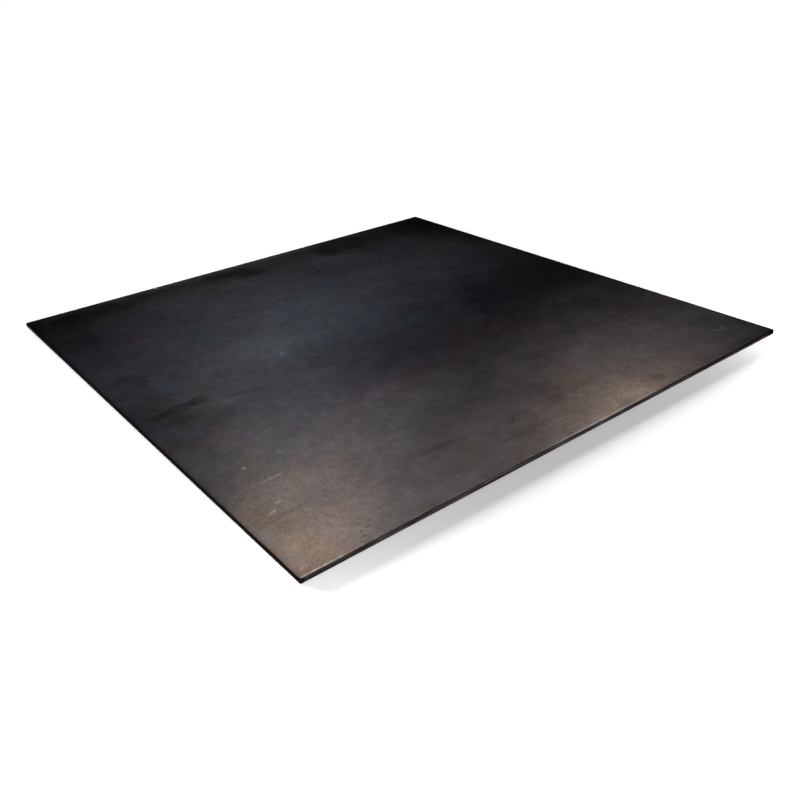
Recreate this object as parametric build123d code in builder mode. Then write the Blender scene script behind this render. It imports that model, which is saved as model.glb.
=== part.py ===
"""Square blank of hot-rolled steel sheet with four sheared sides, lying flat.

The origin is the centre of the bottom face. X is the rolling direction, Y lies across it and Z is up.
"""
import os

from build123d import *

# Blank, in millimetres
length = 500.0
width = 500.0
thickness = 4.0

# Corners of the blank, seen from above
corner_radius = 1.2

# Sheared side, from the face that the blade went in by to the face that it broke out of
rollover_reach = 0.9
rollover_drop = 0.4
shear_land = 1.2
breakout = 0.25
arris_flat = 0.3

# How far each cutting section runs past the blank
overrun = 5.0


def sheared_section(span):
    """Returns the section between two sheared sides, with the rollovers at +Y.

    Going down a side: the face is drawn over in a quarter ellipse, a smooth land stands upright, the
    fracture leans in to the breakout, and the dressed arris cuts the last corner at 45 degrees.
    """
    side = span / 2
    land_top = thickness - rollover_drop
    land_foot = land_top - shear_land
    foot = side - breakout
    with BuildSketch() as section:
        with BuildLine():
            top = Line((0, thickness), (side - rollover_reach, thickness))
            EllipticalCenterArc((side - rollover_reach, land_top), rollover_reach, rollover_drop, arc_size=90)
            land = Line((side, land_top), (side, land_foot))
            Polyline(land @ 1, (foot, arris_flat), (foot - arris_flat, 0), (0, 0))
            Line((0, 0), top @ 0)
        make_face()
        mirror(about=Plane.YZ)
    return section.sketch


# The sides at the ends of X are cut from above, and the sides at the ends of Y with the blank turned over
cut_from_above = Plane.XZ
cut_turned_over = Plane(origin=(0, 0, thickness), x_dir=(0, 1, 0), z_dir=(-1, 0, 0))
section_along = sheared_section(length)
section_across = sheared_section(width)

with BuildPart() as steel_plate:
    with BuildSketch(Plane.XY) as outline:
        Rectangle(length, width)
        fillet(outline.vertices(), corner_radius)
    extrude(amount=thickness)
    with BuildSketch(cut_from_above):
        add(section_along)
    extrude(amount=width / 2 + overrun, both=True, mode=Mode.INTERSECT)
    with BuildSketch(cut_turned_over):
        add(section_across)
    extrude(amount=length / 2 + overrun, both=True, mode=Mode.INTERSECT)

steel_plate.part.label = "steel_plate"

os.makedirs("parts", exist_ok=True)
export_step(steel_plate.part, "parts/steel_plate.step")

volume = steel_plate.part.volume
print(f"steel_plate {length:g} x {width:g} x {thickness:g} mm, {volume / 1000:.1f} cm3")
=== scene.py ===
"""Dresses a square of hot-rolled steel sheet in its mill scale and lays it on a pale studio floor."""
import math

import bpy
import numpy as np
from mathutils import Matrix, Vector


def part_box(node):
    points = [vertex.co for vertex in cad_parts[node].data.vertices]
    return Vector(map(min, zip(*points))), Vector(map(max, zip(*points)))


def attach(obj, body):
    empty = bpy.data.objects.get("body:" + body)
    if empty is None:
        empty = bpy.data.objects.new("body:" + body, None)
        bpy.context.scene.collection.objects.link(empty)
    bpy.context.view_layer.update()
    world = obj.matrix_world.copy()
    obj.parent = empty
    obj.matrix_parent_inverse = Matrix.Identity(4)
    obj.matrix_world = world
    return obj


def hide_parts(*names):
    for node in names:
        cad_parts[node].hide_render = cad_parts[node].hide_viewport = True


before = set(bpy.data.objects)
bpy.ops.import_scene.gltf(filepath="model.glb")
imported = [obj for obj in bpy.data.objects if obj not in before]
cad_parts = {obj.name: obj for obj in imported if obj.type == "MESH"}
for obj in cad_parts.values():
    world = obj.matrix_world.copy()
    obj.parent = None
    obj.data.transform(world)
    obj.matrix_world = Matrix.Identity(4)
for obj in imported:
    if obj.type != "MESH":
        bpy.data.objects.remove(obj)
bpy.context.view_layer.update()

bl_info = {
    "name": "Hot-Rolled Steel Plate",
    "version": (1, 0, 0),
    "blender": (4, 5, 0),
    "location": "3D View > Sidebar > Steel Plate",
    "description": "A sheared square of hot-rolled sheet with its mill scale, on a studio floor",
    "category": "Object",
}

PLATE_LOW, PLATE_HIGH = (np.array(corner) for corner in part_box("steel_plate"))
PLATE_SIZE = PLATE_HIGH - PLATE_LOW
THICKNESS = PLATE_SIZE[2]
MILLIMETRE = 0.001

# Mesh of the plate: points round the outline, levels down a side, rings and cells of a face
OUTLINE_SIDES = 4
POINTS_ROUND = 1600
CORNER_STEPS = 4
ROLLOVER_LEVELS = 7
WALL_LEVELS = 11
FACE_CELLS = 50
FACE_INSET = 20 * MILLIMETRE
FACE_RINGS = (0.1, 0.3, 0.6)
SHARP_ANGLE = math.radians(28)

# Lengths of outline from one knot of a noise to the next
DRIFT_PERIOD = 30 * MILLIMETRE
GRAIN_PERIOD = 1.6 * MILLIMETRE
KNOCK_PERIOD = 5 * MILLIMETRE

# Knocks show where their noise, from 0 to 1, is over this
KNOCK_LEVEL = 2 / 3


def length_property(name, description, millimetres):
    """A size that a user can change, given in millimetres and kept in metres."""
    return bpy.props.FloatProperty(
        name=name,
        description=description,
        default=millimetres * MILLIMETRE,
        min=0.0,
        precision=5,
        unit="LENGTH",
    )


def angle_property(name, description, degrees):
    """A turn that a user can change, given in degrees and kept in radians."""
    return bpy.props.FloatProperty(
        name=name, description=description, default=math.radians(degrees), subtype="ANGLE"
    )


def number_property(name, description, value):
    """A plain number that a user can change."""
    return bpy.props.FloatProperty(name=name, description=description, default=value, precision=3)


def colour_property(name, description, *linear):
    """A colour that a user can change, in linear light."""
    return bpy.props.FloatVectorProperty(
        name=name, description=description, default=linear, min=0.0, max=1.0, size=3, subtype="COLOR"
    )


class ShearedSides(bpy.types.PropertyGroup):
    """Sizes of the four cut sides."""

    corner_radius: length_property("Corner radius", "Rounding of the corners seen from above", 1.2)
    rollover_reach: length_property("Rollover reach", "How far in the blade draws the face over", 0.9)
    rollover_drop: length_property("Rollover drop", "How far down the drawn face goes", 0.4)
    rollover_drift: number_property("Rollover drift", "Share by which the reach grows in places", 0.35)
    shear_land: length_property("Shear land", "Height of the smooth upright band", 1.2)
    breakout: length_property("Breakout", "How far in the fracture leans", 0.25)
    arris_flat: length_property("Arris flat", "Leg of the dressed corner on the burr side", 0.3)
    grain: length_property("Fracture grain", "Depth of the fracture's torn grain", 0.06)
    knocks: length_property("Knocks", "Depth of the knocks in the dressed arris", 0.14)


class MillScale(bpy.types.PropertyGroup):
    """Colours and gloss of the oxide film on the two faces and of the cut sides.

    The film's colours are written at one lightness, a tenth, and the tone zones lift or sink them,
    painting a sheen on the near corner, near rim and bloom and shade on the far corners besides the
    film's own tone.
    """

    straw: colour_property("Straw", "Thinnest film, in the glowing corner", 0.127, 0.095, 0.0735)
    copper: colour_property("Copper", "Film of the glow at the near rim", 0.1215, 0.0955, 0.0885)
    rose: colour_property("Rose grey", "Film of the near third", 0.1085, 0.097, 0.0975)
    plum: colour_property("Plum", "Film along the border of the blue", 0.113, 0.0945, 0.112)
    indigo: colour_property("Indigo", "Film beyond the border, on the right", 0.102, 0.0975, 0.121)
    violet: colour_property("Violet", "Film of the far half", 0.1005, 0.0985, 0.1145)
    blue: colour_property("Blue", "Thick film, in the middle bloom", 0.091, 0.1, 0.123)
    teal: colour_property("Teal", "Thickest film, in patches of the bloom", 0.085, 0.102, 0.118)
    ash: colour_property("Ash", "Loose scale of the far and right margins", 0.1, 0.1, 0.1)
    burr_side: colour_property("Cut side", "Sides cut with the plate turned over", 0.0475, 0.036, 0.034)
    grey_side: colour_property("Cut side's grey", "Stains on the same sides", 0.0385, 0.035, 0.034)
    # The black sides are partly painted shade, darkened as sides turned from the light
    black_shaded_side: colour_property("Black side", "Sides cut from above", 0.008, 0.007, 0.007)
    tone: number_property("Tone", "Lightness away from all zones, in stops over a tenth", -4.0)
    cloud: number_property("Cloud", "Depth of the hand-wide clouds, in stops", 0.3)
    lumps: number_property("Lumps", "Depth of the thumb-wide lumps, in stops", 0.26)
    mottle: number_property("Mottle", "Depth of the pea-wide mottle, in stops", 0.35)
    grain: number_property("Grain", "Depth of the fine grain, in stops", 0.7)
    streak: number_property("Streak", "Depth of the streaks along the rolling, in stops", 0.08)
    speck: number_property("Specks", "Darkness of the pepper specks, in stops", 1.035)
    # The rim's and the arris's added lightness is a painted highlight along the face's edge
    rim_highlight: number_property("Rim shine", "Lightness added to bare film at the face's rim", 1.0)
    arris_highlight: number_property("Arris shine", "Lightness of the dressed arris over bare film", 1.7)
    roughness: number_property("Roughness", "Gloss of the film: 0 is a mirror", 0.42)
    edge_tint: colour_property("Edge tint", "Share of light kept at a grazing view", 0.41, 0.41, 0.41)


class Studio(bpy.types.PropertyGroup):
    """The floor, the lights and the camera."""

    floor_half: length_property("Floor half width", "From the plate's centre to the floor's rim", 6000)
    floor_drop: length_property("Floor drop", "Gap between the floor and the plate's face", 0.1)
    floor_colour: colour_property("Floor colour", "Matt paint of the floor", 0.9, 0.9, 0.9)
    floor_glow: number_property("Floor glow", "White that the camera sees on the floor besides", 0.36)
    ambient: number_property("Ambient", "Strength of the room's light on matt surfaces", 0.12)
    softbox_power: number_property("Softbox power", "Watts of the lamp overhead", 11.0)
    softbox_size: length_property("Softbox size", "Side of the lamp overhead", 1300)
    softbox_height: length_property("Softbox height", "Lamp overhead above the plate", 1500)
    low_light: number_property("Low light", "Watts from the lamps behind on a square metre", 2.08)
    low_light_height: angle_property("Low light height", "Lamps behind above the horizon", 8.5)
    low_light_spread: angle_property("Low light spread", "Width of a lamp seen from the floor", 11)
    low_light_turn: angle_property("Low light turn", "Fan's middle, round from straight behind", 12)
    low_light_fan: angle_property("Low light fan", "From one of the lamps behind to the next", 14)
    lens: number_property("Lens", "Focal length on a 36 mm sensor, in millimetres", 37.195)
    eye: bpy.props.FloatVectorProperty(
        name="Eye",
        description="Place of the camera",
        default=(-0.4214, -0.5747, 0.3163),
        unit="LENGTH",
    )
    heading: angle_property("Heading", "Camera's turn from +Y towards +X", 37.476)
    tilt: angle_property("Tilt", "Camera below the horizon", 28.84)
    roll: angle_property("Roll", "Camera's lean to the right", 2.565)


# Tone of the film, partly its own and partly painted light: the near corner, near rim, bloom and right
# wash are lifted as a painted sheen of the studio, and the far corners and far right rim sunk as
# painted shade.
# Columns: name, middle x and y, reach along x and y, in millimetres, and stops at the middle
TONE_AND_SHEEN_ZONES = (
    ("middle bloom", -50, 80, 400, 330, 3.2),
    ("left shoulder", -130, -60, 160, 130, 0.4),
    ("left cheek", -210, 60, 130, 80, 0.35),
    ("left lip", -262, 110, 75, 170, 0.8),
    ("left rise", -105, 30, 95, 50, 0.55),
    ("bloom east", 48, 25, 55, 55, -0.3),
    ("left mid", -190, -40, 55, 30, -0.2),
    ("near corner glow", -240, -250, 275, 350, 4.7),
    ("near corner heart", -215, -215, 80, 75, 0.4),
    ("near corner skirt", -165, -160, 120, 60, 0.45),
    ("left shore", -250, -85, 45, 80, -0.3),
    ("left bank", -236, -128, 26, 36, 0.3),
    ("near rim glow", 70, -270, 265, 260, 4.3),
    ("near rim dip", -105, -262, 90, 50, -0.3),
    ("near rim shelf", 5, -208, 40, 30, 0.3),
    ("near rim flare", 10, -265, 120, 60, 0.7),
    ("near rim heart", 25, -250, 140, 55, 0.45),
    ("front hollow", -75, -110, 80, 60, 0.55),
    ("saddle", 50, -90, 60, 45, -0.4),
    ("right wash", 260, -150, 220, 160, 2.2),
    ("right shelf", 240, -70, 65, 75, 0.5),
    ("right end", 250, -175, 70, 60, -0.1),
    ("right rim", 165, -262, 110, 28, -0.4),
    ("right tip", 250, -240, 55, 45, 0.3),
    ("right trough", 170, -20, 260, 80, -0.2),
    ("left margin", -265, 200, 80, 120, -0.3),
    ("left smear", -250, -25, 100, 50, -0.4),
    ("far right", 180, 120, 120, 120, 0.75),
    ("far left", -110, 205, 190, 65, 0.45),
    ("far tongue", 75, 200, 78, 40, 0.8),
    ("far ledge", 25, 236, 105, 24, 0.5),
    ("far right shore", 125, 180, 85, 38, 0.35),
    ("right kerb", 242, 80, 30, 45, 0.45),
    ("far left corner", -235, 262, 90, 50, -0.8),
    ("far left shore", -240, 195, 55, 40, 0.35),
    ("far right rim", 175, 262, 105, 40, -1.3),
    ("far right corner", 265, 235, 110, 180, -2.5),
)

# Tone along the edges: the far rim's band is a painted highlight along the far edge, and the left and
# far
# margin bands are painted shade. Columns: name, axis, where it starts and where it is whole, in
# millimetres, and stops
EDGE_SHADE_AND_HIGHLIGHT_BANDS = (
    ("left margin", 0, -206, -224, -0.28),
    ("near rim", 1, -238, -247, -0.15),
    ("far margin", 1, 205, 222, -0.1),
    ("far rim", 1, 229, 250, 1.25),
)

# Thickness of the film: as the tone zones, with a share of the way from straw to teal
FILM_ZONES = (
    ("corner straw", -245, -245, 120, 225, -0.45),
    ("left rim rose", -256, -188, 24, 60, 0.2),
    ("rim copper", 45, -262, 175, 130, -0.4),
    ("left shore", -250, -80, 110, 60, -0.2),
    ("pale west", -100, 50, 115, 100, 0.14),
    ("blue bloom", 0, 45, 115, 150, 0.22),
    ("bloom crown", 0, 118, 85, 32, 0.14),
    ("bloom shore", -150, 125, 45, 32, -0.12),
    ("teal", -60, 30, 75, 45, 0.2),
    ("teal", -90, 128, 45, 40, 0.22),
    ("teal", -132, 100, 35, 40, 0.2),
    ("teal", 85, 50, 28, 55, 0.22),
    ("teal", -188, 42, 35, 32, 0.2),
    ("teal", 45, -15, 35, 25, 0.12),
)

# Dull scale: as the tone zones, with what it adds to the roughness
DULL_ZONES = (
    ("far right corner", 265, 262, 130, 190, 0.25),
    ("far left corner", -262, 262, 80, 80, -0.15),
)

# Ash, where the film has lost its colour: as the tone zones, with the share lost
ASH_ZONES = (
    ("far left corner", -240, 200, 70, 60, 1.0),
    ("far left shore", -50, 195, 70, 30, 0.8),
    ("far right corner", 220, 180, 85, 80, 1.0),
    ("far tongue", 55, 215, 35, 30, -1.0),
    ("left rim", -258, -155, 34, 100, 0.6),
    ("left smear", -210, -22, 45, 32, 0.8),
    ("left field", -205, -5, 90, 60, 0.45),
    ("pale west", -115, 55, 115, 100, 0.4),
    ("left meadow", -175, -90, 120, 90, 0.6),
    ("middle", -50, -142, 110, 45, 0.9),
    ("near left", -110, -175, 60, 40, 0.4),
    ("right elbow", 215, -35, 45, 60, 0.8),
    ("right shelf", 232, -80, 45, 40, 0.8),
    ("near right", 250, -215, 75, 60, 0.8),
    ("right window", 240, -135, 75, 50, -1.0),
)
FAR_ASH = (186 * MILLIMETRE, 212 * MILLIMETRE)
RIGHT_ASH = (202 * MILLIMETRE, 228 * MILLIMETRE)

# Scorched lumps in the far and right margins: as the tone zones
SCORCHES = (
    ("lump", -12, 214, 30, 20, -0.85),
    ("lump", 86, 213, 18, 22, -1.0),
    ("lump", 122, 208, 20, 13, -0.8),
    ("lump", 145, 230, 30, 12, -0.7),
    ("lump", 198, 222, 22, 24, -0.7),
    ("lump", 225, 207, 24, 16, -0.55),
    ("lump", -37, 232, 35, 12, -0.55),
    ("lump", -217, 228, 22, 18, -0.55),
    ("lump", -214, 186, 12, 14, -0.3),
    ("lump", 226, 213, 12, 12, -0.4),
    ("lump", 215, 170, 9, 5, -0.3),
    ("lump", 232, -236, 18, 16, -0.2),
)

# Pale and dark blotches between the zones: as the tone zones
BLOTCHES = (
    ("near pale", -100, -142, 45, 35, 0.25),
    ("near tip pale", -228, -228, 28, 28, 0.15),
    ("near dark", -150, -210, 32, 32, -0.15),
    ("middle dark", 0, -70, 35, 30, -0.18),
    ("bloom pale", -85, 45, 60, 60, 0.15),
    ("bloom crown dark", -75, 118, 40, 35, -0.12),
    ("right pale", 100, -165, 50, 50, 0.22),
    ("right dark", 195, -135, 45, 45, -0.22),
    ("right dark", 155, -98, 35, 35, -0.2),
    ("elbow pale", 190, -42, 35, 25, 0.35),
    ("trough dark", 192, 22, 35, 40, -0.2),
    ("right tip pale", 232, -232, 26, 26, 0.2),
)

# Pale scratches, chips and nubs: as the zones, with a turn in degrees before the stops
SCRATCHES = (
    ("long scratch", -225, -11.5, 14, 1.0, 9, 0.45),
    ("long scratch", -202, -8, 15, 1.0, 8, 0.65),
    ("corner scratch", -214, -150.6, 30, 1.7, 4, 0.3),
    ("corner scratch flare", -206, -150.4, 9, 1.9, 6, 0.45),
    ("rim scratch", -25, -229, 45, 1.6, 1, 0.25),
    ("tip scratch", -242, -243, 6, 1.8, 15, 0.4),
)
CHIPS = (
    ("chip", -216.8, -127.4, 2.1, 1.8, 0, 1.3),
    ("chip", -219.8, -177.6, 3.8, 1.9, 8, 0.65),
    ("chip", -227.8, -184.5, 4.2, 1.7, 12, 0.75),
    ("chip", -216.5, -80.5, 1.8, 1.6, 0, 0.5),
    ("chip", -165, -51, 2.0, 1.8, 0, 0.45),
    ("chip", -100, 13.5, 4.5, 2.2, 40, 0.6),
    ("chip", 170, -95, 5.0, 1.8, 20, 0.7),
    ("twin chip", 213, -216.4, 4.8, 1.9, -66, 0.7),
    ("twin chip", 220.6, -217.2, 4.8, 1.9, -82, 1.0),
    ("third chip", 203, -237.7, 5.0, 2.0, -64, 0.5),
    # The rim fleck is a chip with a painted glint on it
    ("rim fleck", -114, 246.6, 3.6, 2.0, 0, 3.0),
    ("pale smear", -178, -32, 18, 7, -15, 0.3),
    ("pale nub", -208, 48, 3.5, 3.0, 0, 0.35),
    ("chip", -247, 89, 2.2, 1.6, 0, 0.6),
)

# Dark smears and streaks, in the same way
SMEARS = (
    ("smear", -216, -17, 32, 9, 3, -0.35),
    ("smear", -197, -16, 12, 9, 0, -0.4),
    ("smear", -218, -37, 22, 8, 0, -0.25),
    ("streak", -226, -192, 30, 4, 3, -0.25),
    ("streak", -203, -190, 14, 4, 0, -0.15),
    ("streak", -112, -194, 34, 5, -5, -0.2),
    ("streak", -94, -198, 26, 5, -6, -0.2),
    ("streak", -40, -202, 46, 4, 0, -0.1),
    ("streak", -35, -223, 42, 3, 1, -0.2),
    ("streak", 42, -202, 46, 5, 0, -0.1),
    ("dash", -35, -206, 9, 2.5, 30, -0.3),
    ("pit", -110, -229, 2.4, 2.0, 0, -0.5),
    ("pit", -197, -238, 2.2, 1.8, 0, -0.5),
    ("pit", -191.5, -236.5, 2.4, 2.0, 0, -0.5),
    ("pit", -188, -232, 2.0, 1.8, 0, -0.4),
    ("pit", -194, -231.5, 1.8, 1.6, 0, -0.4),
    ("pit", -198, -243, 2.0, 1.6, 0, -0.4),
    ("lump", -40, -162, 18, 7, 0, -0.25),
    ("thumb", 100, -236, 9, 8, 0, -0.35),
    ("dash", 41, 166, 7, 4, 30, -0.5),
    ("dash", -15, 175, 14, 4, 0, -0.15),
    ("bruise", -219, 168, 20, 20, 0, -0.25),
)

# Marks on the sides cut with the plate turned over: as the chips, at x and a height above the floor.
# The feet are painted shade along the bottom of the side, by the floor
SIDE_MARKS = (
    ("right seam", 200, 3.3, 130, 1.2, 0, -1.8),
    ("right tip", 250, 2.2, 12, 3.5, 0, -2.5),
    ("near tip", -250, 2.0, 5, 5.0, 0, -2.5),
    ("foot", -75, 0.7, 60, 1.5, 0, -1.1),
    ("foot", 25, 0.6, 60, 1.2, 0, -0.5),
    ("lit streak", -75, 2.6, 55, 1.1, 0, 0.5),
    ("dark streak", -180, 2.9, 45, 1.1, 0, -0.6),
    ("lit streak", -185, 1.3, 60, 1.0, 0, 0.3),
)

# Marks on the sides cut from above: in the same way, at y and a height
END_MARKS = (
    ("pale wall", -245, 1.2, 190, 2.4, 0, 1.5),
    ("pale wall", -160, 1.4, 70, 1.6, 0, 0.3),
)

# Lengths of the dressed arris and the face's rim with a painted highlight: as the tone zones, with a
# share of its shine
ARRIS_HIGHLIGHTS = (
    ("near corner", -250, -250, 65, 60, 1.15),
    ("near middle", 5, -250, 90, 60, 0.85),
    ("far corner", -140, 250, 60, 60, 0.6),
    ("far middle", 150, 250, 90, 60, 0.8),
)

# Bare rim of the face beside the dressed arris, lightened as a painted highlight, and the strip at the
# face's left end, darkened as painted shade where the face rolls over the edge
BARE_RIM = (PLATE_SIZE[1] / 2 - 1.8 * MILLIMETRE, PLATE_SIZE[1] / 2 - 1.0 * MILLIMETRE)
SHADED_LEFT_STRIP = (4.5 * MILLIMETRE - PLATE_SIZE[0] / 2, 0.8 * MILLIMETRE - PLATE_SIZE[0] / 2)
SHADED_LEFT_STOPS = 0.38

# Noises: length of a lump along x and across it in millimetres, detail, and a shift in metres that
# makes each one unlike the others
CLOUD = (55, 38, 4.0, 0.0)
LUMPS = (16, 13, 3.0, 2.3)
PATINA = (12, 10, 2.0, 4.2)
MOTTLE = (5.5, 6.5, 3.0, 0.3)
GRAIN = (1.3, 1.8, 2.0, 0.7)
STREAK = (80, 9, 2.0, 1.1)
SWARM = (16, 20, 2.0, 1.9)
BREAKS = (6, 6, 2.0, 3.1)
CHATTER = (1.1, 1.1, 3.0, 0.0)
DRAG = (22, 1.7, 2.0, 0.9)
STAIN = (24, 24, 3.0, 0.4)

# Drifts of a place: length of a lump of the noise that moves it, and how far it goes, in millimetres
SLOW_DRIFT = (77, 45)
FRAY = (20, 9)
RAGGEDNESS = (24, 14)
WAVER = (12, 2)
DRIFT_DETAIL = 3.0

# Share of a mark's reach over which it is flat
MARK_CORE = 0.35

# Noise between which a scratch breaks off, and the share by which lumps break up a smear
BROKEN = (-0.6, 0.1)
SMEAR_LUMPS = 1.4

# A dark film is closed and a pale one open: the stops between which it opens, and the strength of its
# grain, mottle and lumps while it is closed. Once it is open that is 1
OPEN_FILM = (1.8, 5.0)
CLOSED_GRAIN = 0.1
CLOSED_MOTTLE = 0.82
CLOSED_LUMPS = 1.45

# Specks: size of a cell, draw of a cell that has one, its rim in cells, and the noise of a swarm
SPECK_CELL = 2.4 * MILLIMETRE
SPECK_DRAW = (0.5, 0.7)
SPECK_RIM = (0.26, 0.1)
SPECK_SWARM = (-0.15, 0.25)

# Film thickness, as a share of the way from straw to teal: the near third's, and the step in it at a
# border that runs across y with a slant, and what the clouds and the lumps add to it
NEAR_FILM = 0.43
BORDER_STEP = 0.27
BORDER = (-105 * MILLIMETRE, -45 * MILLIMETRE)
BORDER_SLANT = 0.2
CLOUD_FILM = 0.12
LUMP_FILM = 0.2

# Share of the film's colour that the lumps, the gaps between the clouds, the patina and the scars
# take, and the share that bare metal has lost
LUMP_ASH = 0.3
CLOUD_ASH = 0.3
PATINA_ASH = 0.7
SCAR_ASH = 0.6
BARE_ASH = 0.5

# Cut sides: depth below the blade's face, as a share of the thickness, over which the film ends, the
# lip of the rollover ends, the fracture starts and the dressed arris starts, and the noise of a stain
FILM_END = (-0.02, 0.03)
LIP_END = (0.16, 0.06)
FRACTURE = (0.3, 0.5)
DRESSED = (0.93, 0.96)
STAINED = (-0.2, 0.25)

# Stops that the noises and the lip add to a cut side. The black sides have less drag, and the torn
# grain besides
CHATTER_STOPS = 0.5
DRAG_STOPS = 2.4
BLACK_DRAG_STOPS = 1.0
STAIN_STOPS = 0.9
TORN_STOPS = 0.8
LIP_STOPS = -0.5

# Lightness of the dressed arris away from its bright lengths, against bare film
DULL_ARRIS = 0.35

# Roughness that the mottle, the grain and the torn fracture add, and the height of the film's relief
MOTTLE_ROUGHNESS = 0.04
GRAIN_ROUGHNESS = 0.05
TORN_ROUGHNESS = 0.15
RELIEF = 0.005 * MILLIMETRE

# Steps of the low lamps in their fan, from its middle
LOW_LAMP_STEPS = (-1, 0, 1)

# Small lamps that fade the low lamps' shadow out at its ends: name, x, y and height, in millimetres,
# and watts
FILL_LAMPS = (
    ("near_fill", -285, -320, 110, 0.11),
    ("right_fill", 275, -275, 70, 0.1),
)
FILL_SIZE = 40 * MILLIMETRE


# Shader maths


class Reading:
    """A number that varies over a surface. Arithmetic on readings adds Math nodes to their board."""

    def __init__(self, board, socket):
        self.board = board
        self.socket = socket

    def __add__(self, other):
        return self.board.maths("ADD", self, other)

    def __sub__(self, other):
        return self.board.maths("SUBTRACT", self, other)

    def __rsub__(self, other):
        return self.board.maths("SUBTRACT", other, self)

    def __mul__(self, other):
        return self.board.maths("MULTIPLY", self, other)

    def __rpow__(self, base):
        return self.board.maths("POWER", base, self)

    __radd__ = __add__
    __rmul__ = __mul__


class Board:
    """The node tree of one material or world, and the way that nodes are put on it."""

    def __init__(self, owner):
        owner.use_nodes = True
        self.tree = owner.node_tree
        self.tree.nodes.clear()

    def put(self, kind, settings=None, sockets=None):
        """Adds a node: its settings first, then the value or the link of each socket."""
        node = self.tree.nodes.new("ShaderNode" + kind)
        for name, value in (settings or {}).items():
            setattr(node, name, value)
        for name, value in (sockets or {}).items():
            source = value.socket if isinstance(value, Reading) else value
            if isinstance(source, bpy.types.NodeSocket):
                self.tree.links.new(source, node.inputs[name])
            else:
                node.inputs[name].default_value = source
        return node

    def maths(self, operation, first, second=0.0):
        """A Math node's result."""
        node = self.put("Math", {"operation": operation}, {0: first, 1: second})
        return Reading(self, node.outputs[0])

    def ease(self, value, low, high):
        """0 at low and 1 at high, with a smooth start and end. High may be the smaller of the two."""
        node = self.put(
            "MapRange",
            {"interpolation_type": "SMOOTHSTEP"},
            {"Value": value, "From Min": low, "From Max": high},
        )
        return Reading(self, node.outputs[0])

    def split(self, place):
        """The three numbers of a place."""
        return [Reading(self, axis) for axis in self.put("SeparateXYZ", sockets={0: place}).outputs]

    def blend(self, share, first, second):
        """A colour between two others."""
        node = self.put("Mix", {"data_type": "RGBA"}, {0: share, 6: first, 7: second})
        return node.outputs[2]

    def scaled(self, colour, amount):
        """A colour times a number."""
        return self.put("VectorMath", {"operation": "SCALE"}, {0: colour, "Scale": amount}).outputs[0]

    def ramp(self, value, stops):
        """Colours of a ramp, given as places and colours in order."""
        node = self.put("ValToRGB", sockets={0: value})
        elements = node.color_ramp.elements
        while len(elements) < len(stops):
            elements.new(1.0)
        for element, (place, colour) in zip(elements, stops):
            element.position = place
            element.color = (*colour, 1.0)
        return node.outputs[0]


# Meshes


def rounded_rectangle(place, half_x, half_y, radius, corner_share):
    """Points and outward directions on a rectangle with round corners.

    place runs from 0 to 4 anticlockwise, with the middle of a corner at each whole number. Within
    corner_share of it the direction turns through 45 degrees, and between two corners the point
    runs straight. A point is the run of its side plus the radius along its direction.
    """
    side = np.floor(place).astype(int) % OUTLINE_SIDES
    following = (side + 1) % OUTLINE_SIDES
    share = place - np.floor(place)
    run = np.clip((share - corner_share) / (1 - 2 * corner_share), 0, 1)
    turn = np.clip(share / corner_share - 1, -1, 0) + np.clip((share - 1) / corner_share + 1, 0, 1)
    angle = (side - 1 + turn / 2) * math.pi / 2
    sign_x = np.array([-1, 1, 1, -1])
    sign_y = np.array([-1, -1, 1, 1])
    x = (half_x - radius) * (sign_x[side] * (1 - run) + sign_x[following] * run)
    y = (half_y - radius) * (sign_y[side] * (1 - run) + sign_y[following] * run)
    direction = np.stack([np.cos(angle), np.sin(angle)], -1)
    return np.stack([x, y], -1) + radius * direction, direction


def shear_inset(depth, sides, drift):
    """How far inside the outline a sheared side lies, at a depth below the face the blade went in by.

    A quarter ellipse over the rollover, stretched by the drift, nothing on the land, a straight lean
    over the fracture, and a 45 degree step in over the dressed arris.
    """
    land_foot = sides.rollover_drop + sides.shear_land
    arris = THICKNESS - sides.arris_flat
    rise = np.clip(1 - depth / sides.rollover_drop, 0, 1)
    rollover = sides.rollover_reach * (1 - np.sqrt(1 - rise**2)) * drift
    fracture = sides.breakout * np.clip((depth - land_foot) / (arris - land_foot), 0, 1)
    return rollover + fracture + np.clip(depth - arris, 0, None)


def ring_noise(place, period, seed, rows=1):
    """Noise from 0 to 1 along a closed line: random knots a period apart, joined by cosine curves.

    The period is a length of outline, and each row has knots of its own.
    """
    outline = 2 * (PLATE_SIZE[0] + PLATE_SIZE[1])
    count = int(round(outline / period))
    knots = np.random.default_rng(seed).uniform(0, 1, (rows, count))
    at = place / OUTLINE_SIDES * count
    before = np.floor(at).astype(int)
    blend = (1 - np.cos((at - before) * math.pi)) / 2
    return knots[:, before % count] * (1 - blend) + knots[:, (before + 1) % count] * blend


def wall_heights(sides):
    """Heights of the levels down a side: bunched by a cosine near both faces, even between them."""
    turn = np.linspace(0, math.pi / 2, ROLLOVER_LEVELS)
    curved = sides.rollover_drop * (1 - np.cos(turn))
    middle = np.linspace(THICKNESS - curved[-1], curved[-1], WALL_LEVELS + 2)[1:-1]
    return np.concatenate([THICKNESS - curved, middle, curved[::-1]])


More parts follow.
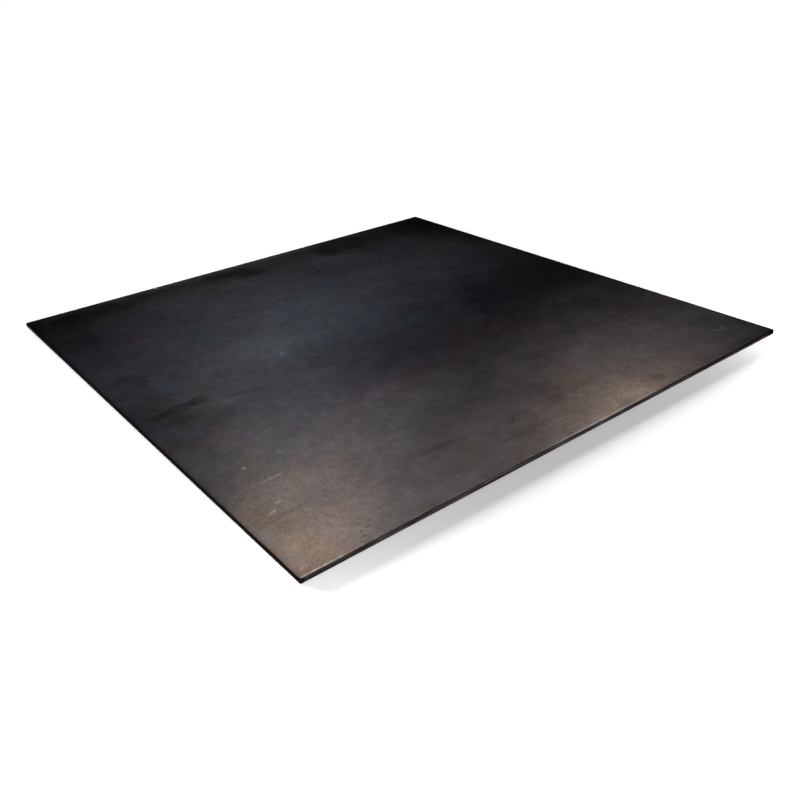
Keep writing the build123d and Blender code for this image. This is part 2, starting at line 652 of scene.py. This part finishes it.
def wall_points(sides):
    """The cut sides, as levels by places, and each point's depth below its own blade's face.

    At each height the outline is a rounded rectangle, drawn in along X by the section cut from
    above and along Y by the section cut from below. The torn grain of the fracture and the knocks
    in the arris push a point further in along its outward direction.
    """
    per_side = POINTS_ROUND // OUTLINE_SIDES
    place = np.arange(POINTS_ROUND) / per_side
    height = wall_heights(sides)[:, None]
    drift = 1 + sides.rollover_drift * ring_noise(place, DRIFT_PERIOD, seed=3)
    half_x = PLATE_SIZE[0] / 2 - shear_inset(THICKNESS - height, sides, drift)
    half_y = PLATE_SIZE[1] / 2 - shear_inset(height, sides, drift)
    spot, direction = rounded_rectangle(
        place, half_x, half_y, sides.corner_radius, CORNER_STEPS / per_side
    )
    faces_x = direction[:, 0] ** 2
    depth = faces_x * (THICKNESS - height) + (1 - faces_x) * height
    land_foot = sides.rollover_drop + sides.shear_land
    torn = np.clip((depth - land_foot) / sides.rollover_drop, 0, 1)
    grain = ring_noise(place, GRAIN_PERIOD, seed=5, rows=len(height))
    dressed = np.clip((depth - THICKNESS + 2 * sides.arris_flat) / sides.arris_flat, 0, 1)
    over = ring_noise(place, KNOCK_PERIOD, seed=8) - KNOCK_LEVEL
    knock = np.clip(over / (1 - KNOCK_LEVEL), 0, 1)
    push = sides.grain * torn * grain + sides.knocks * dressed * knock
    spot = spot - push[..., None] * direction
    return np.concatenate([spot, np.broadcast_to(height, depth.shape)[..., None]], -1), depth


def band(upper, lower):
    """Quads between two rings of as many points, facing out of the side when upper is above."""
    return np.stack([lower, np.roll(lower, -1), np.roll(upper, -1), upper], -1)


def halving_ring(outer, inner):
    """Triangles from a ring to one inside it with half as many points, three for each inner step."""
    left, middle, right = outer[0::2], outer[1::2], np.roll(outer, -2)[0::2]
    after = np.roll(inner, -1)
    corners = [(left, middle, inner), (middle, after, inner), (middle, right, after)]
    return np.concatenate([np.stack(corner, -1) for corner in corners])


def face_points(rim, height):
    """Points inside a face's rim, and its quads and triangles, numbered from the rim's own points.

    The middle is a square grid. Between it and the rim lie rings at set shares of the way, the
    first with as many points as the rim and each next one with half as many, down to the grid's.
    """
    half = PLATE_SIZE[:2] / 2 - FACE_INSET
    cells = np.linspace(-1, 1, FACE_CELLS + 1)
    across, along = np.meshgrid(cells * half[1], cells * half[0], indexing="ij")
    grid_points = np.stack([along, across], -1).reshape(-1, 2)
    grid = np.arange(len(grid_points)).reshape(FACE_CELLS + 1, FACE_CELLS + 1)
    border = np.concatenate([grid[0, :-1], grid[:-1, -1], grid[-1, :0:-1], grid[:0:-1, 0]])

    place = np.arange(len(rim)) / len(rim)
    closed = np.append(border, border[0])
    stations = np.linspace(0, 1, len(closed))
    inner = np.stack([np.interp(place, stations, grid_points[closed, axis]) for axis in (0, 1)], -1)

    points, quads, triangles = [rim], [], []
    numbers = np.arange(len(rim))
    total = len(rim)
    for step, share in enumerate(FACE_RINGS):
        every = 2**step
        ring = ((1 - share) * rim + share * inner)[::every]
        following = total + np.arange(len(ring))
        if step == 0:
            quads.append(band(following, numbers))
        else:
            triangles.append(halving_ring(numbers, following))
        points.append(ring)
        numbers = following
        total += len(ring)
    triangles.append(halving_ring(numbers, total + border))
    grid = grid + total
    quads.append(
        np.stack([grid[:-1, :-1], grid[:-1, 1:], grid[1:, 1:], grid[1:, :-1]], -1).reshape(-1, 4)
    )
    flat = np.concatenate(points + [grid_points])
    lifted = np.column_stack([flat, np.full(len(flat), height)])
    return lifted, np.concatenate(quads), np.concatenate(triangles)


def plate_mesh(sides):
    """The plate as one closed mesh: the cut sides carried round, and the two faces inside them."""
    wall, depth = wall_points(sides)
    levels = len(wall)
    numbers = np.arange(levels * POINTS_ROUND).reshape(levels, POINTS_ROUND)
    wall_quads = np.concatenate([band(numbers[k], numbers[k + 1]) for k in range(levels - 1)])
    points = [wall.reshape(-1, 3)]
    faces = wall_quads.tolist()
    total = levels * POINTS_ROUND
    for level, height in ((0, THICKNESS), (levels - 1, 0.0)):
        inside, quads, triangles = face_points(wall[level, :, :2], height)
        fresh = total + np.arange(len(inside) - POINTS_ROUND)
        lookup = np.concatenate([numbers[level], fresh])
        order = 1 if level == 0 else -1
        faces += lookup[quads][:, ::order].tolist() + lookup[triangles][:, ::order].tolist()
        points.append(inside[POINTS_ROUND:])
        total += len(fresh)
    mesh = bpy.data.meshes.new("rolled_plate")
    mesh.from_pydata(np.concatenate(points), [], faces)
    mesh.validate()
    blade = np.zeros(total, np.float32)
    blade[: depth.size] = (depth / THICKNESS).ravel()
    mesh.attributes.new("blade_depth", "FLOAT", "POINT").data.foreach_set("value", blade)
    cut = np.zeros(len(faces), np.float32)
    cut[: len(wall_quads)] = 1.0
    mesh.attributes.new("cut_side", "FLOAT", "FACE").data.foreach_set("value", cut)
    mesh.shade_smooth()
    mesh.set_sharp_from_angle(angle=SHARP_ANGLE)
    return mesh


# Finishes


def oval(board, place, middle_x, middle_y, reach_x, reach_y, turn=0.0, core=0.0):
    """1 in the middle of an oval patch and 0 outside it, eased. The core is the share that stays 1."""
    local = board.put(
        "Mapping",
        {"vector_type": "TEXTURE"},
        {
            "Vector": place,
            "Location": (middle_x * MILLIMETRE, middle_y * MILLIMETRE, 0.0),
            "Rotation": (0.0, 0.0, math.radians(turn)),
            "Scale": (reach_x * MILLIMETRE, reach_y * MILLIMETRE, 1.0),
        },
    )
    inside = board.put("TexGradient", {"gradient_type": "SPHERICAL"}, {"Vector": local.outputs[0]})
    return board.ease(Reading(board, inside.outputs["Fac"]), 0.0, 1.0 - core)


def patches(board, place, zones):
    """Sum of the eased oval patches of a table, each times its last number."""
    return sum((oval(board, place, *zone[1:5]) * zone[5] for zone in zones), 0.0)


def marks(board, place, table):
    """Sum of the marks of a table, each flat over its core."""
    return sum((oval(board, place, *mark[1:6], core=MARK_CORE) * mark[6] for mark in table), 0.0)


def shifted(board, place, lump, reach):
    """The place, moved about in x and y by soft noise with lumps of that length and that reach."""
    sockets = {"Vector": place, "Scale": 1 / (lump * MILLIMETRE), "Detail": DRIFT_DETAIL}
    slow = board.put("TexNoise", sockets=sockets)
    swing = 2 * reach * MILLIMETRE
    move = board.put(
        "VectorMath",
        {"operation": "MULTIPLY_ADD"},
        {0: slow.outputs["Color"], 1: (swing, swing, 0.0), 2: (-swing / 2, -swing / 2, 0.0)},
    )
    return board.put("VectorMath", {"operation": "ADD"}, {0: place, 1: move.outputs[0]}).outputs[0]


def noise(board, place, along, across, detail, shift):
    """Noise from about -1 to 1 whose lumps are so many millimetres along x, and across it."""
    local = board.put(
        "Mapping",
        {"vector_type": "TEXTURE"},
        {
            "Vector": place,
            "Location": (0.0, 0.0, shift),
            "Scale": (along * MILLIMETRE, across * MILLIMETRE, across * MILLIMETRE),
        },
    )
    lumps = board.put("TexNoise", sockets={"Vector": local.outputs[0], "Scale": 1.0, "Detail": detail})
    return Reading(board, lumps.outputs[0]) * 2.0 - 1.0


def specks(board, place):
    """1 on small round specks and 0 between them.

    A speck lies in some of the cells of a random honeycomb, and only where a slow noise lets them be.
    """
    sockets = {"Vector": place, "Scale": (SPECK_CELL,) * 3}
    local = board.put("Mapping", {"vector_type": "TEXTURE"}, sockets)
    cells = board.put("TexVoronoi", sockets={"Vector": local.outputs[0], "Scale": 1.0})
    chosen = board.ease(Reading(board, cells.outputs["Color"]), *SPECK_DRAW)
    swarm = board.ease(noise(board, place, *SWARM), *SPECK_SWARM)
    return board.ease(Reading(board, cells.outputs["Distance"]), *SPECK_RIM) * chosen * swarm


class Film:
    """The places, noises and scars that the film's tone, tint, gloss and relief share."""

    def __init__(self, board):
        self.board = board
        self.here = board.put("TexCoord").outputs["Object"]
        self.x, self.y, self.z = board.split(self.here)

        # The underside carries the same film turned half round
        self.upper = board.maths("GREATER_THAN", self.z, THICKNESS / 2)
        facing = self.upper * 2.0 - 1.0
        axes = {0: self.x * facing, 1: self.y * facing, 2: self.z}
        self.turned = board.put("CombineXYZ", sockets=axes).outputs[0]

        # Patches lose their ovals by a slow drift of the place, and edges are frayed by a quick one
        self.drifted = shifted(board, self.turned, *SLOW_DRIFT)
        self.frayed = shifted(board, self.turned, *FRAY)
        self.ragged = shifted(board, self.drifted, *RAGGEDNESS)
        self.wavering = shifted(board, self.turned, *WAVER)

        self.cloud = noise(board, self.turned, *CLOUD)
        self.lumps = noise(board, self.turned, *LUMPS)
        self.patina = noise(board, self.turned, *PATINA)
        self.mottle = noise(board, self.turned, *MOTTLE)
        self.grain = noise(board, self.turned, *GRAIN)
        self.streak = noise(board, self.turned, *STREAK)
        broken = board.ease(noise(board, self.turned, *BREAKS), *BROKEN)
        scratches = marks(board, self.turned, SCRATCHES) * broken
        self.scars = marks(board, self.turned, CHIPS) + scratches


def opening(opened, closed):
    """1 where the film is open, and the number given where it is closed."""
    return opened * (1.0 - closed) + closed


def film_tone(film, scale):
    """Lightness over a tenth: 2 to the power of all the zones, marks and noises, in stops."""
    board = film.board
    # The tone zones and the edge bands carry painted sheen and shade besides the film's own tone
    zones = patches(board, film.drifted, TONE_AND_SHEEN_ZONES)
    frayed_axes = board.split(film.frayed)
    for name, axis, start, whole, stops in EDGE_SHADE_AND_HIGHLIGHT_BANDS:
        zones = zones + board.ease(frayed_axes[axis], start * MILLIMETRE, whole * MILLIMETRE) * stops
    opened = board.ease(zones, *OPEN_FILM)
    stops = zones + patches(board, film.frayed, SCORCHES + BLOTCHES) + film.scars + scale.tone
    stops = stops + marks(board, film.wavering, SMEARS) * (film.lumps * SMEAR_LUMPS + 1.0)
    stops = stops + film.cloud * scale.cloud + film.streak * scale.streak
    stops = stops + film.lumps * scale.lumps * opening(opened, CLOSED_LUMPS)
    stops = stops + film.mottle * scale.mottle * opening(opened, CLOSED_MOTTLE)
    stops = stops + film.grain * scale.grain * opening(opened, CLOSED_GRAIN)
    stops = stops - specks(board, film.turned) * scale.speck * opened
    # The strip at the face's left end is darkened as painted shade where the face rolls over the edge
    return 2.0 ** (stops - board.ease(film.x, *SHADED_LEFT_STRIP) * SHADED_LEFT_STOPS)


def film_tint(film, scale):
    """Hue of the film at a tenth's lightness: a ramp over its thickness, greyed where it is lost.

    The film is thin before a slanting border, and thicker beyond it and in the bloom.
    """
    board = film.board
    x, y = board.split(film.ragged)[:2]
    border = board.ease(y - x * BORDER_SLANT, *BORDER)
    thickness = border * BORDER_STEP + patches(board, film.ragged, FILM_ZONES)
    thickness = thickness + NEAR_FILM + film.cloud * CLOUD_FILM + film.lumps * LUMP_FILM
    hues = (
        (0.0, scale.straw),
        (0.2, scale.copper),
        (0.42, scale.rose),
        (0.56, scale.plum),
        (0.67, scale.indigo),
        (0.78, scale.violet),
        (0.88, scale.blue),
        (1.0, scale.teal),
    )
    lost = board.ease(y, *FAR_ASH) + board.ease(x, *RIGHT_ASH) + patches(board, film.ragged, ASH_ZONES)
    lost = lost + film.lumps * LUMP_ASH - film.cloud * CLOUD_ASH
    lost = lost + film.patina * PATINA_ASH + film.scars * SCAR_ASH
    lost = board.maths("MAXIMUM", board.maths("MINIMUM", lost, 1.0), 0.0)
    return board.blend(lost, board.ramp(thickness, hues), (*scale.ash, 1.0))


def cut_side(film, scale, blade, end, torn):
    """Colour of a cut side below the film: stained steel with drag marks, chatter and torn grain.

    The sides at the ends of x, where end is 1, are nearly black, partly painted shade for sides turned
    from the light. Those at the ends of y are brown with grey stains, their feet darkened as painted
    shade by the floor. Every mark and noise lifts or sinks them by so many stops.
    """
    board = film.board
    chatter = noise(board, film.here, *CHATTER)
    drag = noise(board, film.here, *DRAG)
    stain = noise(board, film.here, *STAIN)
    stained = board.ease(stain, *STAINED)
    burr = board.blend(stained, (*scale.burr_side, 1.0), (*scale.grey_side, 1.0))
    side = board.blend(end, burr, (*scale.black_shaded_side, 1.0))
    along_x = board.put("CombineXYZ", sockets={0: film.x, 1: film.z}).outputs[0]
    along_y = board.put("CombineXYZ", sockets={0: film.y, 1: film.z}).outputs[0]
    drag_stops = DRAG_STOPS + end * (BLACK_DRAG_STOPS - DRAG_STOPS)
    stops = chatter * CHATTER_STOPS + drag * drag_stops + stain * STAIN_STOPS
    stops = stops + torn * (end * TORN_STOPS) + board.ease(blade, *LIP_END) * LIP_STOPS
    stops = stops + marks(board, along_x, SIDE_MARKS) * (1.0 - end)
    stops = stops + marks(board, along_y, END_MARKS) * end
    return board.scaled(side, 2.0**stops)


def mill_scale(scale):
    """The oxide film on the faces, the cut sides and the dressed arris, as one metal."""
    material = bpy.data.materials.new("mill_scale")
    board = Board(material)
    film = Film(board)
    tone = film_tone(film, scale)
    tint = film_tint(film, scale)
    face = board.scaled(tint, tone)
    bare = board.scaled(board.blend(BARE_ASH, tint, (*scale.ash, 1.0)), tone)

    # 1 towards the ends of x, where the sides are cut from above, and 0 towards the ends of y
    across = board.maths("ABSOLUTE", film.y)
    end = board.maths("GREATER_THAN", board.maths("ABSOLUTE", film.x), across)

    # Bare rim of the upper face beside its dressed arris, lightened as a painted highlight
    shine = patches(board, film.drifted, ARRIS_HIGHLIGHTS)
    rim = board.ease(across, *BARE_RIM) * shine * film.upper
    rimmed = board.blend(rim, face, board.scaled(bare, scale.rim_highlight + 1.0))

    # The film runs over the rollover of a cut side, and the arris of the turned-over cut is dressed
    cut = Reading(board, board.put("Attribute", {"attribute_name": "cut_side"}).outputs["Fac"])
    blade = Reading(board, board.put("Attribute", {"attribute_name": "blade_depth"}).outputs["Fac"])
    torn = board.ease(blade, *FRACTURE)
    dressed = board.ease(blade, *DRESSED) * (1.0 - end)
    # The dressed arris is lightened along its bright lengths as a painted highlight
    bright = board.scaled(bare, shine * scale.arris_highlight + DULL_ARRIS)
    side = board.blend(dressed, cut_side(film, scale, blade, end, torn), bright)
    bared = cut * board.ease(blade, *FILM_END)

    roughness = patches(board, film.turned, DULL_ZONES) + scale.roughness
    roughness = roughness + film.mottle * MOTTLE_ROUGHNESS + film.grain * GRAIN_ROUGHNESS
    roughness = roughness + bared * torn * TORN_ROUGHNESS
    height = film.grain + film.mottle
    bump = board.put("Bump", sockets={"Strength": 1.0, "Distance": RELIEF, "Height": height})
    shader = board.put(
        "BsdfPrincipled",
        sockets={
            "Base Color": board.blend(bared, rimmed, side),
            "Metallic": 1.0,
            "Roughness": roughness,
            "Specular Tint": (*scale.edge_tint, 1.0),
            "Normal": bump.outputs[0],
        },
    )
    board.put("OutputMaterial", sockets={"Surface": shader.outputs[0]})
    return material


def floor_paint(studio):
    """Matt pale paint that the camera sees brighter, and clear when seen from below."""
    material = bpy.data.materials.new("floor_paint")
    board = Board(material)
    paint = board.put("BsdfDiffuse", sockets={"Color": (*studio.floor_colour, 1.0)})
    seen = Reading(board, board.put("LightPath").outputs["Is Camera Ray"])
    glow = board.put("Emission", sockets={"Strength": seen * studio.floor_glow})
    lit = board.put("AddShader", sockets={0: paint.outputs[0], 1: glow.outputs[0]})
    clear = board.put("BsdfTransparent")
    from_below = board.put("NewGeometry").outputs["Backfacing"]
    mix = board.put("MixShader", sockets={0: from_below, 1: lit.outputs[0], 2: clear.outputs[0]})
    board.put("OutputMaterial", sockets={"Surface": mix.outputs[0]})
    return material


def studio_room(studio):
    """White where the camera, a reflection or glass sees it, and plain soft light on matt surfaces."""
    world = bpy.data.worlds.new("studio_room")
    board = Board(world)
    path = board.put("LightPath").outputs
    seen = Reading(board, path["Is Camera Ray"]) + Reading(board, path["Is Glossy Ray"])
    seen = board.maths("MINIMUM", seen + Reading(board, path["Is Transmission Ray"]), 1.0)
    strength = studio.ambient + (1 - studio.ambient) * seen
    light = board.put("Background", sockets={"Color": (1.0, 1.0, 1.0, 1.0), "Strength": strength})
    board.put("OutputWorld", sockets={"Surface": light.outputs[0]})
    return world


# Operators


class STEEL_OT_plate(bpy.types.Operator):
    """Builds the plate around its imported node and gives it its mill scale"""

    bl_idname = "steel.plate"
    bl_label = "Steel Plate"

    def execute(self, context):
        sides = context.scene.sheared_sides
        plate = bpy.data.objects.new("rolled_plate", plate_mesh(sides))
        context.scene.collection.objects.link(plate)
        plate.data.materials.append(mill_scale(context.scene.mill_scale))
        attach(plate, "root")
        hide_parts("steel_plate")
        return {"FINISHED"}


class STEEL_OT_studio(bpy.types.Operator):
    """Sets the floor, the room, the lamps and the camera"""

    bl_idname = "steel.studio"
    bl_label = "Studio"

    def execute(self, context):
        studio = context.scene.studio
        self.lay_floor(context, studio)
        context.scene.world = studio_room(studio)
        self.hang_lamps(context, studio)
        self.place_camera(context, studio)
        context.scene.view_settings.view_transform = "Standard"
        return {"FINISHED"}

    def lay_floor(self, context, studio):
        """A square just under the plate."""
        ends = np.array([[-1, -1], [1, -1], [1, 1], [-1, 1]]) * studio.floor_half
        mesh = bpy.data.meshes.new("floor")
        mesh.from_pydata(np.column_stack([ends, np.full(4, -studio.floor_drop)]), [], [(0, 1, 2, 3)])
        mesh.materials.append(floor_paint(studio))
        floor = bpy.data.objects.new("floor", mesh)
        context.scene.collection.objects.link(floor)
        floor.visible_diffuse = False
        floor.visible_glossy = False

    def hang(self, context, light, placed, unseen_by):
        """Hangs a lamp where the matrix puts it, unseen by rays of the kinds named."""
        lamp = bpy.data.objects.new(light.name, light)
        lamp.matrix_world = placed
        for kind in unseen_by:
            setattr(lamp, "visible_" + kind, False)
        context.scene.collection.objects.link(lamp)

    def hang_lamps(self, context, studio):
        """A softbox overhead, low lamps behind, and small ones that fade the shadow's ends.

        Reflections show the softbox alone, and the other lamps alone light the floor.
        """
        softbox = bpy.data.lights.new("softbox", "AREA")
        softbox.energy = studio.softbox_power
        softbox.size = studio.softbox_size
        overhead = Matrix.Translation((0.0, 0.0, studio.softbox_height))
        self.hang(context, softbox, overhead, ("diffuse",))

        for name, x, y, height, watts in FILL_LAMPS:
            fill = bpy.data.lights.new(name, "AREA")
            fill.energy = watts
            fill.size = FILL_SIZE
            spot = Matrix.Translation((x * MILLIMETRE, y * MILLIMETRE, height * MILLIMETRE))
            self.hang(context, fill, spot, ("camera", "glossy"))

        sun = bpy.data.lights.new("low_lamp", "SUN")
        sun.energy = studio.low_light / math.sin(studio.low_light_height) / len(LOW_LAMP_STEPS)
        sun.angle = studio.low_light_spread
        raised = Matrix.Rotation(math.pi / 2 - studio.low_light_height, 4, "X")
        for step in LOW_LAMP_STEPS:
            turn = math.pi + studio.low_light_turn + step * studio.low_light_fan
            self.hang(context, sun, Matrix.Rotation(turn, 4, "Z") @ raised, ("glossy",))

    def place_camera(self, context, studio):
        """Turned to its heading, tilted down, then leaned about its own line of sight."""
        lens = bpy.data.cameras.new("camera")
        lens.lens = studio.lens
        camera = bpy.data.objects.new("camera", lens)
        heading = Matrix.Rotation(-studio.heading, 4, "Z")
        tilt = Matrix.Rotation(math.pi / 2 - studio.tilt, 4, "X")
        roll = Matrix.Rotation(-studio.roll, 4, "Z")
        camera.matrix_world = Matrix.Translation(studio.eye) @ heading @ tilt @ roll
        context.scene.collection.objects.link(camera)
        context.scene.camera = camera


class STEEL_PT_sidebar(bpy.types.Panel):
    """Lists the plate's operators and sizes in the 3D view's sidebar"""

    bl_label = "Steel Plate"
    bl_idname = "STEEL_PT_sidebar"
    bl_space_type = "VIEW_3D"
    bl_region_type = "UI"
    bl_category = "Steel Plate"

    def draw(self, context):
        layout = self.layout
        layout.operator(STEEL_OT_plate.bl_idname)
        layout.operator(STEEL_OT_studio.bl_idname)
        for group in (context.scene.sheared_sides, context.scene.mill_scale, context.scene.studio):
            box = layout.box()
            for name in group.bl_rna.properties.keys():
                if name not in ("rna_type", "name"):
                    box.prop(group, name)


CLASSES = (ShearedSides, MillScale, Studio, STEEL_OT_plate, STEEL_OT_studio, STEEL_PT_sidebar)


def register():
    for part in CLASSES:
        bpy.utils.register_class(part)
    bpy.types.Scene.sheared_sides = bpy.props.PointerProperty(type=ShearedSides)
    bpy.types.Scene.mill_scale = bpy.props.PointerProperty(type=MillScale)
    bpy.types.Scene.studio = bpy.props.PointerProperty(type=Studio)


def unregister():
    del bpy.types.Scene.studio
    del bpy.types.Scene.mill_scale
    del bpy.types.Scene.sheared_sides
    for part in reversed(CLASSES):
        bpy.utils.unregister_class(part)


def main():
    register()
    bpy.ops.steel.studio()
    bpy.ops.steel.plate()


if __name__ == "__main__":
    main()
